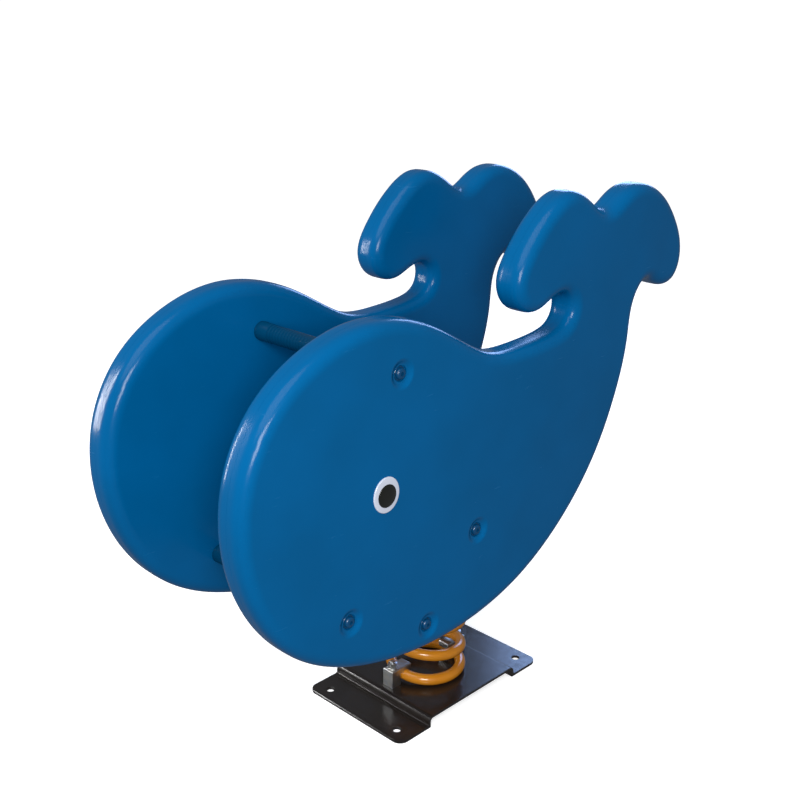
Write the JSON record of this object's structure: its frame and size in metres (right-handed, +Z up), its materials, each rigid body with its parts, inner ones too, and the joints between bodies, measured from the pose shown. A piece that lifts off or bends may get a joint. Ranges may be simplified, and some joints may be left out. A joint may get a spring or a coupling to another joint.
{
  "type": "spring rider",
  "caption": "Child's spring rider: two moulded whale-shaped side panels with a seat, hand bar and foot bar between them, on one coil spring and a bolted base plate.",
  "frame": {"origin": "on the ground under the spring's axis, at the centre of the four anchor holes", "axes": "+X the way the rider faces, +Y the rider's left, +Z up"},
  "size_m": [1.0274, 0.39, 0.911],
  "materials": {
    "blue_plastic": "satin, rotationally moulded polyethylene",
    "dark_blue_plastic": "satin, moulded polyethylene",
    "eye_white_plastic": "smooth",
    "eye_black_plastic": "smooth",
    "spring_paint": "powder coat, yellow orange",
    "plate_paint": "powder coat, dark brown",
    "frame_paint": "powder coat, black",
    "zinc_plate": "zinc plated",
    "bolt_paint": "dark blue powder coat on the panel bolts"
  },
  "bodies": {
    "base": {"base_plate": "plate_paint", "lower_clamp_bolts": "zinc_plate", "lower_clamp_nuts": "zinc_plate", "lower_clamp_washers": "zinc_plate", "lower_coil_clamps": "zinc_plate"},
    "lower_spring": {"spring_bottom_coils": "spring_paint"},
    "middle_spring": {"spring_lower_coils": "spring_paint"},
    "upper_spring": {"spring_upper_coils": "spring_paint"},
    "rider": {"footrest_sleeve": "dark_blue_plastic", "footrest_threaded_ends": "zinc_plate", "footrest_tube": "frame_paint", "frame_bolts": "zinc_plate", "frame_cross_tubes": "frame_paint", "frame_nuts": "zinc_plate", "frame_washers": "zinc_plate", "handlebar_sleeve": "dark_blue_plastic", "handlebar_threaded_ends": "zinc_plate", "handlebar_tube": "frame_paint", "left_eye_pupil": "eye_black_plastic", "left_eye_white": "eye_white_plastic", "left_frame_plate": "frame_paint", "left_frame_plate_nuts": "frame_paint", "left_panel_bolts": "bolt_paint", "left_panel_spacers": "zinc_plate", "left_panel_washers": "bolt_paint", "left_whale_panel": "blue_plastic", "right_eye_pupil": "eye_black_plastic", "right_eye_white": "eye_white_plastic", "right_frame_plate": "frame_paint", "right_frame_plate_nuts": "frame_paint", "right_panel_bolts": "bolt_paint", "right_panel_spacers": "zinc_plate", "right_panel_washers": "bolt_paint", "right_whale_panel": "blue_plastic", "seat": "dark_blue_plastic", "seat_bolts": "zinc_plate", "seat_plate": "frame_paint", "seat_posts": "frame_paint", "seat_washers": "zinc_plate", "spring_head_plate": "frame_paint", "spring_top_coils": "spring_paint", "upper_clamp_bolts": "zinc_plate", "upper_clamp_nuts": "zinc_plate", "upper_clamp_washers": "zinc_plate", "upper_coil_clamps": "zinc_plate"}
  },
  "joints": [
    {"name": "spring_bounce", "type": "slide", "parent": "base", "child": "lower_spring", "axis": [0, 0, 1], "range_m": [-0.012, 0.006], "stiffness_N_per_m": 147000, "springref_m": 0.00202, "deforming": ["spring_bottom_coils"]},
    {"name": "rock_fore_aft", "type": "hinge", "parent": "lower_spring", "child": "middle_spring", "pos_m": [0, 0, 0.156], "axis": [0, 1, 0], "range_deg": [-22, 22], "stiffness_Nm_per_rad": 700, "springref_deg": -1.37, "deforming": ["spring_lower_coils"]},
    {"name": "rock_sideways", "type": "hinge", "parent": "middle_spring", "child": "upper_spring", "pos_m": [0, 0, 0.2142], "axis": [1, 0, 0], "range_deg": [-15, 15], "stiffness_Nm_per_rad": 700, "deforming": ["spring_upper_coils"]},
    {"name": "spring_twist", "type": "hinge", "parent": "upper_spring", "child": "rider", "pos_m": [0, 0, 0.26], "axis": [0, 0, 1], "range_deg": [-6, 6], "stiffness_Nm_per_rad": 800, "deforming": ["spring_top_coils"]}
  ]
}
